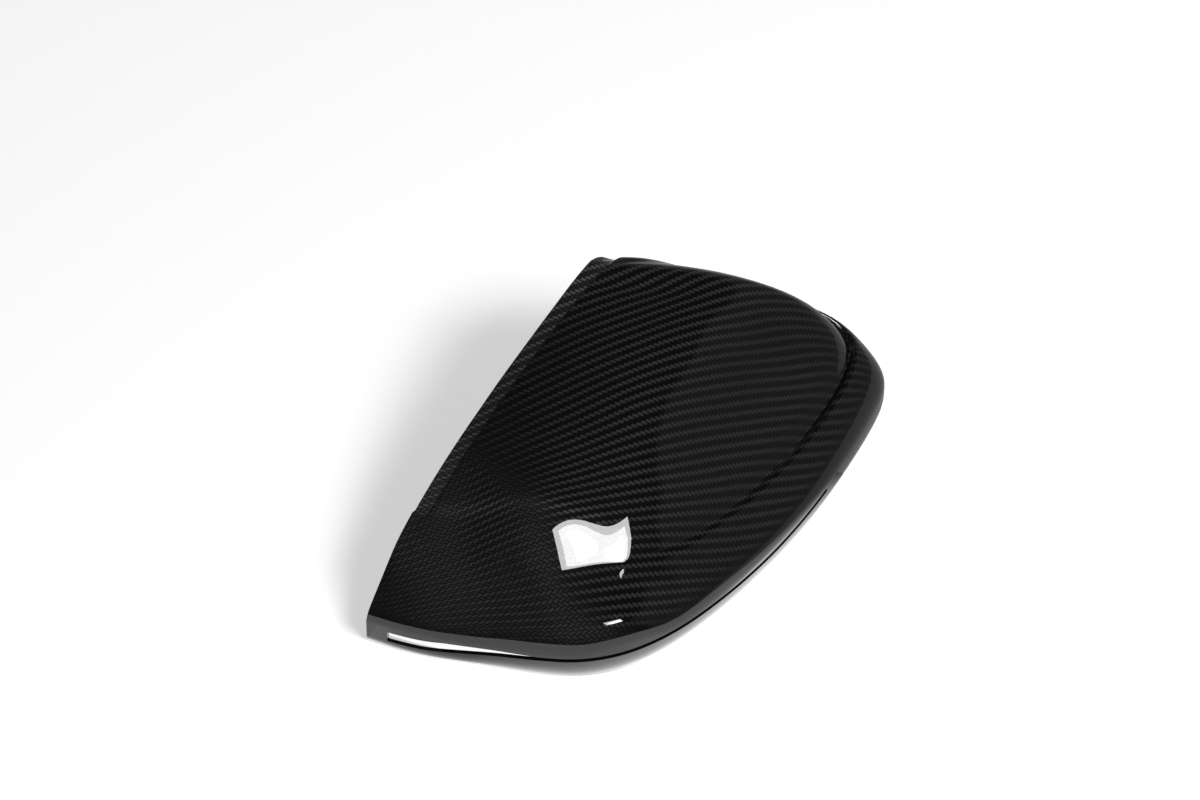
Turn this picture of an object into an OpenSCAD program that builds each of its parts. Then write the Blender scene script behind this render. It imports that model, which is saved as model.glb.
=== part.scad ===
// Cover of a right-hand wing mirror: one laminated shell that stands on its lower rim,
// open underneath and towards the glass, with the clips that hold it bonded inside.
// Every place on the shell is given by three measures: out, towards the outer end of the
// mirror from the inner top corner; fwd, forwards from the plane of the glass rim; and height.

/* [Cover] */
// Length of the cover, from its inner front corner to its outer end
cover_length = 250; // [220:1:280]
// Depth of the cover, from the glass rim to the front
cover_depth = 120; // [105:1:135]
// Height of the glass rim at its inner top corner
cover_height = 96; // [85:1:110]
// Thickness of the laminate
wall = 2; // [1.4:0.1:2.4]
// Share of the listed edge radius that the rounded edge gets
edge_rounding = 1; // [0.8:0.05:1.2]

/* [Crease] */
// Depth of the crease between dome and ledge at the front
crease_depth = 4; // [2:0.25:5]
// Distance over which the crease fades into the ledge
crease_reach_ledge = 2.5; // [2:0.25:4]
// Distance over which the crease fades into the dome
crease_reach_dome = 3; // [2:0.25:4]
// Radius at the bottom of the crease
crease_radius = 1; // [0.5:0.25:2]

/* [Glass rim] */
// Width of the recessed band along the glass rim
rim_band = 6.5; // [5:0.5:8]
// Depth of the recessed band
rim_step = 1.5; // [0.8:0.1:1.8]
// Width of the slope at the edge of the band
rim_slope = 1.4; // [1:0.1:2]
// Place of the band's outer end, from the inner top corner
rim_band_end = 135; // [120:1:142]
// Radius of the corner at the band's outer end
rim_band_corner = 5; // [3:0.5:6]

/* [Lower lip] */
// Height of the lip under the lamp slot at the outer rear corner
lip_rear = 4; // [3:0.25:5]
// Height of the lip along the front
lip_front = 13.5; // [10:0.5:14.5]
// Distance that the foot of the lip is tucked in
lip_tuck = 4.5; // [2:0.5:5]

/* [Lamp slot] */
// Height of the slot in its wide part, round the outer end
slot_wide = 5.5; // [4.5:0.25:6]
// Height of the slot along the front
slot_narrow = 2; // [1:0.25:3]
// Station where the slot starts, counted from the outer rear corner
slot_from = 0.75; // [0.5:0.25:1.5]
// Station where the slot ends, past the middle of the front
slot_to = 11.5; // [9:0.25:12]

/* [Clips] */
// Length of a clip's foot
clip_length = 15; // [12:0.5:18]
// Width of a clip's foot
clip_width = 10; // [8:0.5:12]
// Thickness of a clip's foot and tongue
clip_wall = 1.8; // [1.4:0.1:2.2]
// Height of a clip's tongue above its foot
clip_reach = 11; // [8:0.5:13]
// Width of a clip's tongue
tongue_width = 6; // [4:0.5:8]
// Hook at the end of the tongue
clip_hook = 1.6; // [1:0.1:2.2]
// Adhesive between a clip's foot and the shell, at the middle of the foot
bond = 0.6; // [0.5:0.05:0.8]

/* [Hidden] */

// Each station is a line across the cover from its widest outline to the glass rim.
// They are counted from the outer rear corner, round the outer end and the front, past the
// inner front corner at 15, to the inner rear corner at 21.
// out, fwd: the outline. rim: where the line meets the glass rim. edge, q1, half, q3, top:
// heights of the skin at the outline, a quarter, half and three quarters of the way, and rim.
// lip: share of the rise from lip_rear to lip_front. crease: share of crease_depth.
// at: distance of the crease from the outline. round: radius of the edge.
//  out,  fwd,   rim,  edge, q1, half, q3,   top,  lip,  crease, at, round
stations = [
  [170,     0,   158,  15, 18.8, 22.5, 26,   29.5, 0,    0,    16, 3],
  [167.5,  13,   148,  16, 22.5, 29,   35.2, 41,   0.05, 0,    16, 3],
  [163.5,  27,   139,  17, 25.5, 33.7, 41.5, 48,   0.12, 0,    17, 3.5],
  [158,    41,   129,  18, 28,   37.8, 47.2, 54.4, 0.26, 0,    18, 3.5],
  [152,    56,   118,  20, 30,   42,   52.2, 60.5, 0.47, 0,    20, 5],
  [145.5,  73,   108,  22.5, 33.5, 49, 57.5, 65.3, 0.7,  0,    23, 6.5],
  [137,    89,   98,   25, 39,   56,   64,   69.6, 0.9,  0,    28, 7.5],
  [122,   102.5, 87,   25, 41.5, 61,   68.5, 73.8, 1,    0.15, 29, 7.5],
  [100,   112,   75,   23, 46.5, 64.5, 73.5, 78.4, 1,    0.3,  23.5, 5.5],
  [72,    117.5, 62,   22, 49,   69,   78,   82.7, 1,    0.45, 19, 4.5],
  [40,    120,   50,   22, 47.5, 73,   82.5, 86.4, 1,    0.5,  18.5, 4.5],
  [8,     119,   39,   22, 47.5, 75,   85.5, 89.7, 1,    0.65, 17.5, 5],
  [-22,   115.5, 30,   23, 48.5, 77.5, 86.5, 92.3, 1,    0.8,  16.5, 6],
  [-51,   110,   23.5, 25, 50,   78.5, 87,   94.2, 1,    1,    16.5, 7],
  [-71,   103.5, 20,   27, 56.5, 80.5, 87,   95.2, 1,    1.35, 16.5, 8],
  [-80,    93,   17.5, 27, 63.5, 83.5, 89.5, 95.7, 1,    1.6,  13.5, 8],
  [-78,    78,   15,   37, 64.5, 83.5, 91.5, 96.3, 1,    1.5,  13, 7],
  [-68.5,  60,   12.5, 46, 66.5, 83.5, 92.5, 96.8, 1,    1,    12, 6],
  [-52,    40,   10.5, 58, 74,   86,   93,   97.1, 1,    0.4,  11, 6],
  [-33,    21,   8.5,  73, 84,   90.8, 94.8, 97.4, 1,    0,    10, 6],
  [-17,    7,    6.5,  83, 88.5, 92.5, 95.5, 97.6, 1,    0,    10, 6],
  [-10,    0,    4.5,  87, 91.5, 94.5, 96.5, 97.7, 1,    0,    10, 6],
];
last = len(stations) - 1;

// Columns of the list, and the sizes that the listed lengths, depths and heights belong to
OUT = 0; FWD = 1; RIM = 2; EDGE = 3; TOP = 7; LIP = 8; CREASE = 9; AT = 10; ROUND = 11;
listed_length = 250;
listed_depth = 120;
listed_height = 96;
kx = cover_length / listed_length;
ky = cover_depth / listed_depth;
kz = cover_height / listed_height;

// Stations where the wide part of the slot starts to narrow, and where it is narrow
taper_from = 2.5;
taper_to = 5;

// The mesh has so many columns to each station, and so many rows over the dome
columns = 4;
dome_rows = 9;

// A smooth curve through the values in list, at place x counted in values
function slope(list, i) =
  i <= 0 ? list[1] - list[0] :
  i >= len(list) - 1 ? list[i] - list[i - 1] : (list[i + 1] - list[i - 1]) / 2;
function curve(list, x) =
  let (i = max(0, min(len(list) - 2, floor(x))), u = x - i, v = 1 - u)
  (1 + 2 * u) * v * v * list[i] + u * v * v * slope(list, i)
  + (3 - 2 * u) * u * u * list[i + 1] - u * u * v * slope(list, i + 1);

columns_of = [for (c = [0:ROUND]) [for (s = stations) s[c]]];
function value(c, t) = curve(columns_of[c], t);
function foot(t) = [value(OUT, t) * kx, value(FWD, t) * ky];
function rim(t) = [value(RIM, t) * kx, 0];
function span(t) = norm(rim(t) - foot(t));
function edge_round(t) = min(value(ROUND, t) * edge_rounding, 0.25 * span(t));
function crease_at(t) = min(value(AT, t), 0.3 * span(t));
function heights(t) = [for (c = [EDGE:TOP]) value(c, t) * kz];
function lip_height(t) = lip_rear + (lip_front - lip_rear) * value(LIP, t);
function ramp(x) = let (u = max(0, min(1, x))) u * u * (3 - 2 * u);
function slot_height(t) =
  let (u = max(0, min(1, (t - taper_from) / (taper_to - taper_from))))
  slot_wide + (slot_narrow - slot_wide) * u;

// Outward direction across the outline at station t
function outward(t) =
  let (d = foot(min(t + 0.05, last)) - foot(max(t - 0.05, 0)))
  [-d[1], d[0]] / -norm(d);

// How far the crease lowers the skin at distance q from the outline
function fade(x, reach) = exp(-(sqrt(x * x + crease_radius * crease_radius) - crease_radius) / reach);
function crease(t, q) =
  let (c = crease_at(t), x = q - c)
  crease_depth * max(0, value(CREASE, t))
  * (fade(x, x < 0 ? crease_reach_ledge : crease_reach_dome)
     - fade(c, crease_reach_ledge) * max(0, 1 - q / c));

// How far the rounded edge lowers the skin at distance q from the outline
function edge_drop(t, q) =
  let (r = edge_round(t), d = max(0, 1 - q / r)) r * (1 - sqrt(1 - d * d));

// A point of the skin over the dome, at distance q from the outline of station t
function skin(t, q) =
  let (l = span(t), f = foot(t), p = f + (rim(t) - f) * q / l)
  [p[0], p[1], curve(heights(t), 4 * q / l) - crease(t, q) - edge_drop(t, q)];

// A point of the wall below the edge. At the outer rear corner the foot is tucked in by a share.
tuck_share_rear = 0.3;
function wall_point(t, z) =
  let (tuck = lip_tuck * (tuck_share_rear + (1 - tuck_share_rear) * value(LIP, t)),
       s = max(0, 1 - z / lip_height(t)),
       p = foot(t) - outward(t) * tuck * s * s,
       in_plane = t == 0 || t == last)
  [p[0], in_plane ? 0 : p[1], z];

// Distances from the outline of the rows of station t: the edge, the crease, the dome and the rim
edge_angles = [0, 30, 55, 90];
band_rows = [rim_band + 3, rim_band + rim_slope / 2, rim_band - rim_slope / 2, rim_band / 2];
band_limits = [0.5, 0.36, 0.3, 0.15];
ledge_row = 0.4;
last_ledge_row = 0.7;
crease_side = 2.5;
crease_clear = 7;
full_span = 60;
function row_places(t) =
  let (l = span(t), r = edge_round(t), c = crease_at(t), k = min(1, (l - c) / full_span),
       past = c + crease_clear * k, fwd = max(value(FWD, t) * ky, 0.01),
       near = [for (i = [0:3]) l * (1 - min(band_rows[i] / fwd, band_limits[i]))])
  concat([for (a = edge_angles) r * (1 - cos(a))],
         [r + (c - r) * ledge_row, max(c - crease_side, r + (c - r) * last_ledge_row), c,
          c + crease_side * k],
         [for (i = [0:dome_rows - 1]) past + (near[0] - past) * i / dome_rows],
         near, [l]);

// The wall's rows, then the skin's. Rows 2 and 3 are the bottom and the top of the slot.
SLOT_ROW = 2;
function station_points(t) =
  concat([for (s = [0, 0.5, 1]) wall_point(t, s * lip_height(t))],
         [wall_point(t, lip_height(t) + slot_height(t))],
         [for (q = row_places(t)) skin(t, q)]);

ts = [for (i = [0:last * columns]) i / columns];
grid = [for (t = ts) station_points(t)];
nt = len(grid);
nv = len(grid[0]);

// Outward direction at each point. It turns into the plane of the glass rim over the last few
// millimetres, and lies flat at the foot, so that both rims of the laminate are flat.
rim_blend = 8;
function unit(v) = v / norm(v);
function normal(i, j) =
  let (k = max(1, min(nt - 2, i)), m = max(1, min(nv - 2, j)),
       n = unit(cross(grid[k + 1][m] - grid[k - 1][m], grid[k][m + 1] - grid[k][m - 1])),
       near_rim = i == 0 || i == nt - 1 || j == nv - 1 ? 0 : min(1, grid[i][j][1] / rim_blend))
  unit([n[0], n[1] * near_rim, j == 0 ? 0 : n[2]]);
normals = [for (i = [0:nt - 1]) [for (j = [0:nv - 1]) normal(i, j)]];

// Depth of the recessed band at point p: a strip along the glass rim with a round outer corner
function recess(p) =
  let (r = rim_band_corner, x = p[0] - rim_band_end + r, y = p[1] - rim_band + r,
       d = norm([max(x, 0), max(y, 0)]) + min(max(x, y), 0) - r)
  rim_step * ramp(0.5 - d / rim_slope);

// The part's own axes: x runs inwards along the cover, y backwards to the glass, z up.
// Its origin is on the floor under the middle of the shell's box.
outs = [for (row = grid) for (p = row) p[0]];
fwds = [for (row = grid) for (p = row) p[1]];
out_middle = (max(outs) + min(outs)) / 2;
fwd_middle = (max(fwds) + min(fwds)) / 2;
function place(p) = [out_middle - p[0], fwd_middle - p[1], p[2]];
function turned(n) = [-n[0], -n[1], n[2]];

// Both skins of the laminate: side 0 outside, side 1 inside
function shell_point(i, j, side) =
  place(grid[i][j] - normals[i][j] * (recess(grid[i][j]) + side * wall));
function id(i, j, side) = (side * nt + i) * nv + j;
slot_a = round(slot_from * columns);
slot_b = round(slot_to * columns);
function in_slot(i, j) = j == SLOT_ROW && i >= slot_a && i < slot_b;

function quad(a, b, c, d) = [[a, b, c], [a, c, d]];
// A strip of faces between the two skins along a border from point a to point b
function border(a, b) =
  quad(id(a[0], a[1], 0), id(b[0], b[1], 0), id(b[0], b[1], 1), id(a[0], a[1], 1));

module cover_shell() {
  points = [for (side = [0, 1]) for (i = [0:nt - 1]) for (j = [0:nv - 1]) shell_point(i, j, side)];
  outside = [for (i = [0:nt - 2]) for (j = [0:nv - 2]) if (!in_slot(i, j))
    each quad(id(i, j, 0), id(i, j + 1, 0), id(i + 1, j + 1, 0), id(i + 1, j, 0))];
  inside = [for (i = [0:nt - 2]) for (j = [0:nv - 2]) if (!in_slot(i, j))
    each quad(id(i, j, 1), id(i + 1, j, 1), id(i + 1, j + 1, 1), id(i, j + 1, 1))];
  floor_rim = [for (i = [0:nt - 2]) each border([i, 0], [i + 1, 0])];
  glass_rim = [for (i = [0:nt - 2]) each border([i + 1, nv - 1], [i, nv - 1])];
  outer_end = [for (j = [0:nv - 2]) each border([0, j + 1], [0, j])];
  inner_end = [for (j = [0:nv - 2]) each border([nt - 1, j], [nt - 1, j + 1])];
  slot_floor = [for (i = [slot_a:slot_b - 1]) each border([i + 1, SLOT_ROW], [i, SLOT_ROW])];
  slot_roof = [for (i = [slot_a:slot_b - 1]) each border([i, SLOT_ROW + 1], [i + 1, SLOT_ROW + 1])];
  slot_start = border([slot_a, SLOT_ROW], [slot_a, SLOT_ROW + 1]);
  slot_end = border([slot_b, SLOT_ROW + 1], [slot_b, SLOT_ROW]);
  color([0.06, 0.06, 0.065])
    polyhedron(points, concat(outside, inside, floor_rim, glass_rim, outer_end, inner_end,
                              slot_floor, slot_roof, slot_start, slot_end), convexity = 8);
}

// Places its children inside the shell, gap away from the inner skin, z pointing into the cover
// and y along station t
module on_inner_skin(t, q, gap) {
  half_step = [0.05, 0.5];
  along = unit(place(skin(t, q + half_step[1])) - place(skin(t, q - half_step[1])));
  across = place(skin(t + half_step[0], q)) - place(skin(t - half_step[0], q));
  inward = unit(cross(along, across));
  x = unit(cross(along, inward));
  p = place(skin(t, q)) + inward * (wall + gap);
  multmatrix([[x[0], along[0], inward[0], p[0]],
              [x[1], along[1], inward[1], p[1]],
              [x[2], along[2], inward[2], p[2]],
              [0, 0, 0, 1]]) children();
}

// Parts of a clip: length of its hook's slope, thickness of its ribs, and how far the ribs stay
// short of the foot's side and of the hook
hook_rise = 3;
rib = 1.2;
rib_inset = 1;
rib_drop = 2;

// A clip: a foot bonded to the shell, a tongue with a hook, and a rib on each side of the tongue.
// fill is the adhesive added where the skin is more curved.
module clip(t, q, fill = 0) {
  tongue = [[0, 0], [clip_wall, 0], [clip_wall, clip_reach - hook_rise],
            [clip_wall + clip_hook, clip_reach - hook_rise], [clip_wall, clip_reach], [0, clip_reach]];
  brace = [[0, 0], [rib_inset - clip_width / 2, 0], [0, clip_reach - hook_rise - rib_drop]];
  color([0.1, 0.1, 0.1])
    on_inner_skin(t, q, bond + fill) {
      translate([-clip_length / 2, -clip_width / 2, 0]) cube([clip_length, clip_width, clip_wall]);
      translate([-tongue_width / 2, 0, clip_wall]) rotate([90, 0, 90])
        linear_extrude(tongue_width) polygon(tongue);
      for (x = [-tongue_width / 2, tongue_width / 2 - rib])
        translate([x, 0, clip_wall]) rotate([90, 0, 90]) linear_extrude(rib) polygon(brace);
    }
}

// Where the clips sit: distance of the upper ones from the glass rim, and of the front ones
// from the outline
top_inner_back = 20;
top_back = 22;
front_inner_in = 42;
front_outer_in = 46;
outer_end_in = 24;

cover_shell();
clip(13, span(13) - top_inner_back, 0.4);  // clip_top_inner
clip(9.5, span(9.5) - top_back);  // clip_top_middle
clip(5.5, span(5.5) - top_back, 0.5);  // clip_top_outer
clip(12, front_inner_in);  // clip_front_inner
clip(8.5, front_outer_in, 0.1);  // clip_front_outer
clip(2.5, outer_end_in, 0.1);  // clip_outer_end
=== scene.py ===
"""Dresses the cover of a wing mirror: a glossy shell of black twill cloth under clear coat.

The skin follows the same stations as the solid part. Lengths inside the classes are in
millimetres, in three measures: out, towards the outer end of the mirror; fwd, forwards from
the plane of the glass rim; and height. Finished meshes are in metres, in the frame's axes.
"""

import logging
import math
from dataclasses import dataclass, field
from enum import Enum

import bpy
import numpy as np
from mathutils import Matrix, Vector
from mathutils.bvhtree import BVHTree

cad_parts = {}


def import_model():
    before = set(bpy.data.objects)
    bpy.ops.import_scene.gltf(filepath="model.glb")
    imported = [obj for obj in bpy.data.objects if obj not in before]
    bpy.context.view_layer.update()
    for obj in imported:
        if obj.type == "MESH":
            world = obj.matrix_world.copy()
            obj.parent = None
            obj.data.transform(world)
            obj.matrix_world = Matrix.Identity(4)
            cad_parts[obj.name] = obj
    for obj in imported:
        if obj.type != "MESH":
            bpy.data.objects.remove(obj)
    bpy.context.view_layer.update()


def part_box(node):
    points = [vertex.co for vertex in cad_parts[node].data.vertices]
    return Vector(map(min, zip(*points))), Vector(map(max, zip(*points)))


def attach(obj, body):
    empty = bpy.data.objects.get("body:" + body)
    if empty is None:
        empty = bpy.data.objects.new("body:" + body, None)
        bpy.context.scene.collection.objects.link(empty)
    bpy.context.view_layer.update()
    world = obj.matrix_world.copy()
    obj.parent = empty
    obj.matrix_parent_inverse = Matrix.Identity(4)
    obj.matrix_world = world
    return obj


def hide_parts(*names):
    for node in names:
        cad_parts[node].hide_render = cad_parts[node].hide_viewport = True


LOG = logging.getLogger("cover")
Colour = tuple[float, float, float, float]
MM = 0.001
# Tows in one whole part of the map named tows
TOWS_A_PART = 200


class Measure(Enum):
    """Columns of the station list."""

    OUT = 0
    FWD = 1
    RIM = 2
    EDGE = 3
    TOP = 7
    LIP = 8
    CREASE = 9
    AT = 10
    ROUND = 11


QUARTERS = Measure.TOP.value - Measure.EDGE.value

# Stations across the cover, from the outer rear corner round the front to the inner rear corner:
# out and fwd of the outline, place on the rim, five heights from outline to rim, share of the
# lip's rise, share of the crease's depth, place of the crease, radius of the edge
STATIONS = (
    (170, 0, 158, 15, 18.8, 22.5, 26, 29.5, 0, 0, 16, 3),
    (167.5, 13, 148, 16, 22.5, 29, 35.2, 41, 0.05, 0, 16, 3),
    (163.5, 27, 139, 17, 25.5, 33.7, 41.5, 48, 0.12, 0, 17, 3.5),
    (158, 41, 129, 18, 28, 37.8, 47.2, 54.4, 0.33, 0, 18, 4.5),
    (152, 56, 118, 20, 30, 42, 52.2, 60.5, 0.57, 0, 20, 6.5),
    (145.5, 73, 108, 22.5, 33.5, 49, 57.5, 65.3, 0.8, 0, 23, 7.5),
    (137, 89, 98, 24, 39.5, 56.5, 64, 69.6, 0.95, 0, 28, 7.5),
    (122, 102.5, 87, 27, 41.5, 61.5, 68.5, 73.8, 1, 0.05, 29, 7),
    (100, 112, 75, 20.5, 45.5, 63.5, 73.5, 78.4, 1, 0.1, 23.5, 5),
    (72, 117.5, 62, 22, 49.5, 68.5, 78, 82.7, 1, 0.4, 19, 5),
    (40, 120, 50, 22, 47.5, 73, 82.5, 86.4, 1, 0.5, 18.5, 4.5),
    (8, 119, 39, 22, 47.5, 75, 85.5, 89.7, 1, 0.65, 17.5, 5),
    (-22, 115.5, 30, 23, 48.5, 77.5, 86.5, 92.3, 1, 0.8, 16.5, 6),
    (-51.5, 110.5, 23.5, 25, 50, 78.5, 87, 94.2, 1, 0.85, 16.5, 8),
    (-72, 104.5, 20, 27, 56.5, 80.5, 87, 95.2, 1, 1.1, 16.5, 9),
    (-80, 93, 17.5, 27, 63.5, 83.5, 89.5, 95.7, 1, 1.35, 13.5, 9),
    (-78, 78, 15, 37, 64.5, 83.5, 91.5, 96.3, 1, 1.35, 13, 7),
    (-68.5, 60, 12.5, 46, 66.5, 83.5, 92.5, 96.8, 1, 1, 12, 6),
    (-52, 40, 10.5, 58, 74, 86, 93, 97.1, 1, 0.4, 11, 6),
    (-33, 21, 8.5, 73, 84, 90.8, 94.8, 97.4, 1, 0, 10, 6),
    (-17, 7, 6.5, 83, 88.5, 92.5, 95.5, 97.6, 1, 0, 10, 6),
    (-10, 0, 4.5, 87, 91.5, 94.5, 96.5, 97.7, 1, 0, 10, 6),
)


def curve_through(values: np.ndarray, places: np.ndarray) -> np.ndarray:
    """Reads a smooth curve that passes through every value.

    Args:
        values: The values, one for each whole place.
        places: Where the curve is read, counted in values.

    Returns:
        The curve's value at each place.
    """
    slopes = np.empty_like(values)
    slopes[1:-1] = (values[2:] - values[:-2]) / 2
    slopes[0] = values[1] - values[0]
    slopes[-1] = values[-1] - values[-2]
    i = np.clip(np.floor(places).astype(int), 0, len(values) - 2)
    u = (places - i).reshape(places.shape + (1,) * (values.ndim - 1))
    v = 1 - u
    near = (1 + 2 * u) * v * v * values[i] + u * v * v * slopes[i]
    far = (3 - 2 * u) * u * u * values[i + 1] - u * u * v * slopes[i + 1]
    return near + far


def fair(samples: np.ndarray, width: int) -> np.ndarray:
    """Smooths evenly spaced samples with a bell-shaped window and keeps both ends.

    Args:
        samples: The samples, along the first axis.
        width: Width of the window, in samples.

    Returns:
        As many smoothed samples.
    """
    half = width // 2
    bell = np.hanning(2 * half + 3)[1:-1]
    bell /= bell.sum()
    head = 2 * samples[0] - samples[half:0:-1]
    tail = 2 * samples[-1] - samples[-2 : -half - 2 : -1]
    padded = np.concatenate([head, samples, tail])
    return sum(bell[k] * padded[k : k + len(samples)] for k in range(2 * half + 1))


def ramp(x: np.ndarray) -> np.ndarray:
    """Rises smoothly from 0 to 1 as x goes from 0 to 1."""
    u = np.clip(x, 0, 1)
    return u * u * (3 - 2 * u)


def in_frame(points: np.ndarray, corner: np.ndarray) -> np.ndarray:
    """Turns out, fwd and height into the frame's axes.

    Args:
        points: Points, in millimetres.
        corner: Low x and high y of the solid shell, in millimetres.

    Returns:
        The points, in metres.
    """
    out_end = STATIONS[0][Measure.OUT.value]
    x = corner[0] + out_end - points[..., 0]
    y = corner[1] - points[..., 1]
    return np.stack([x, y, points[..., 2]], -1) * MM


def direction(azimuth: float, elevation: float) -> Vector:
    """Gives the direction from the cover to a place round it.

    Args:
        azimuth: Degrees round from the front.
        elevation: Degrees up from the floor.

    Returns:
        A unit vector in the frame's axes.
    """
    a, e = math.radians(azimuth), math.radians(elevation)
    return Vector((math.sin(a) * math.cos(e), -math.cos(a) * math.cos(e), math.sin(e)))


@dataclass
class Skin:
    """The cover's outer skin, in millimetres, as a function of station and distance."""

    fine: int = 32
    fine_across: int = 50
    fair_stations: float = 1.2
    fair_across: float = 0.8
    crease_depth: float = 4
    reach_ledge: float = 1.5
    reach_dome: float = 4.5
    crease_radius: float = 1
    lip_rear: float = 4
    lip_front: float = 13.5
    lip_tuck: float = 4.5
    tuck_rear: float = 0.3
    edge_most: float = 0.25
    crease_most: float = 0.3
    slot_wide: float = 5.5
    slot_narrow: float = 2
    taper_from: float = 2.5
    taper_to: float = 5
    columns: np.ndarray = field(init=False)
    heights: np.ndarray = field(init=False)

    def __post_init__(self) -> None:
        """Samples the faired station list along and across the cover."""
        listed = np.array(STATIONS, float)
        places = np.linspace(0, self.last, self.last * self.fine + 1)
        self.columns = fair(curve_through(listed, places), int(self.fair_stations * self.fine))
        profile = self.columns[:, Measure.EDGE.value : Measure.TOP.value + 1].T
        across = np.linspace(0, QUARTERS, QUARTERS * self.fine_across + 1)
        sampled = curve_through(profile, across)
        self.heights = fair(sampled, int(self.fair_across * self.fine_across)).T

    @property
    def last(self) -> int:
        """Number of the last station."""
        return len(STATIONS) - 1

    def value(self, measure: Measure, t: np.ndarray) -> np.ndarray:
        """Reads one measure at stations t."""
        grid = np.arange(len(self.columns)) / self.fine
        return np.interp(t, grid, self.columns[:, measure.value])

    def foot(self, t: np.ndarray) -> np.ndarray:
        """Gives the outline's out and fwd at stations t."""
        return np.stack([self.value(Measure.OUT, t), self.value(Measure.FWD, t)], -1)

    def rim(self, t: np.ndarray) -> np.ndarray:
        """Gives the glass rim's out and fwd at stations t."""
        out = self.value(Measure.RIM, t)
        return np.stack([out, np.zeros_like(out)], -1)

    def span(self, t: np.ndarray) -> np.ndarray:
        """Gives the distance in plan from outline to rim at stations t."""
        return np.linalg.norm(self.rim(t) - self.foot(t), axis=-1)

    def height(self, t: np.ndarray, w: np.ndarray) -> np.ndarray:
        """Reads the dome's height.

        Args:
            t: Stations.
            w: Quarters of the way from outline to rim.

        Returns:
            Heights without crease and rounded edge.
        """
        x = np.clip(t * self.fine, 0, len(self.heights) - 1)
        y = np.clip(w * self.fine_across, 0, self.heights.shape[1] - 1)
        i = np.minimum(x.astype(int), len(self.heights) - 2)
        j = np.minimum(y.astype(int), self.heights.shape[1] - 2)
        f = x - i
        g = y - j
        h = self.heights
        near = (1 - g) * h[i, j] + g * h[i, j + 1]
        far = (1 - g) * h[i + 1, j] + g * h[i + 1, j + 1]
        return (1 - f) * near + f * far

    def edge_round(self, t: np.ndarray) -> np.ndarray:
        """Gives the radius of the rounded edge at stations t."""
        return np.minimum(self.value(Measure.ROUND, t), self.edge_most * self.span(t))

    def crease_at(self, t: np.ndarray) -> np.ndarray:
        """Gives the distance of the crease from the outline at stations t."""
        return np.minimum(self.value(Measure.AT, t), self.crease_most * self.span(t))

    def fade(self, x: np.ndarray, reach: np.ndarray) -> np.ndarray:
        """Falls from 1 at the crease towards 0 with distance x from it."""
        r = self.crease_radius
        return np.exp(-(np.sqrt(x * x + r * r) - r) / reach)

    def crease(self, t: np.ndarray, q: np.ndarray) -> np.ndarray:
        """Says how far the crease lowers the skin.

        Args:
            t: Stations.
            q: Distances from the outline.

        Returns:
            The drop at each place.
        """
        c = self.crease_at(t)
        x = q - c
        depth = self.crease_depth * np.maximum(0, self.value(Measure.CREASE, t))
        reach = np.where(x < 0, self.reach_ledge, self.reach_dome)
        at_edge = self.fade(c, self.reach_ledge) * np.maximum(0, 1 - q / c)
        return depth * (self.fade(x, reach) - at_edge)

    def edge_drop(self, t: np.ndarray, q: np.ndarray) -> np.ndarray:
        """Says how far the rounded edge lowers the skin.

        Args:
            t: Stations.
            q: Distances from the outline.

        Returns:
            The drop at each place.
        """
        r = self.edge_round(t)
        d = np.clip(1 - q / r, 0, 1)
        return r * (1 - np.sqrt(1 - d * d))

    def dome(self, t: np.ndarray, q: np.ndarray) -> np.ndarray:
        """Gives points of the skin above the wall.

        Args:
            t: Stations.
            q: Distances from the outline.

        Returns:
            The points.
        """
        length = self.span(t)
        foot = self.foot(t)
        plan = foot + (self.rim(t) - foot) * (q / length)[..., None]
        z = self.height(t, QUARTERS * q / length) - self.crease(t, q) - self.edge_drop(t, q)
        return np.concatenate([plan, z[..., None]], -1)

    def lip_height(self, t: np.ndarray) -> np.ndarray:
        """Gives the height of the lip under the slot at stations t."""
        return self.lip_rear + (self.lip_front - self.lip_rear) * self.value(Measure.LIP, t)

    def slot_height(self, t: np.ndarray) -> np.ndarray:
        """Gives the height of the lamp slot at stations t."""
        u = np.clip((t - self.taper_from) / (self.taper_to - self.taper_from), 0, 1)
        return self.slot_wide + (self.slot_narrow - self.slot_wide) * u

    def outward(self, t: np.ndarray) -> np.ndarray:
        """Gives the level direction that points out of the outline.

        Args:
            t: Stations.

        Returns:
            Unit vectors in plan.
        """
        step = 0.05
        d = self.foot(np.minimum(t + step, self.last)) - self.foot(np.maximum(t - step, 0))
        d /= np.linalg.norm(d, axis=-1, keepdims=True)
        return np.stack([d[..., 1], -d[..., 0]], -1)

    def wall(self, t: np.ndarray, z: np.ndarray) -> np.ndarray:
        """Gives points of the wall below the edge.

        Args:
            t: Stations.
            z: Heights.

        Returns:
            The points.
        """
        tuck = self.lip_tuck * (self.tuck_rear + (1 - self.tuck_rear) * self.value(Measure.LIP, t))
        s = np.maximum(0, 1 - z / self.lip_height(t))
        plan = self.foot(t) - self.outward(t) * (tuck * s * s)[..., None]
        in_plane = (t <= 0) | (t >= self.last)
        plan[..., 1] = np.where(in_plane, 0, plan[..., 1])
        return np.concatenate([plan, z[..., None]], -1)


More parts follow.
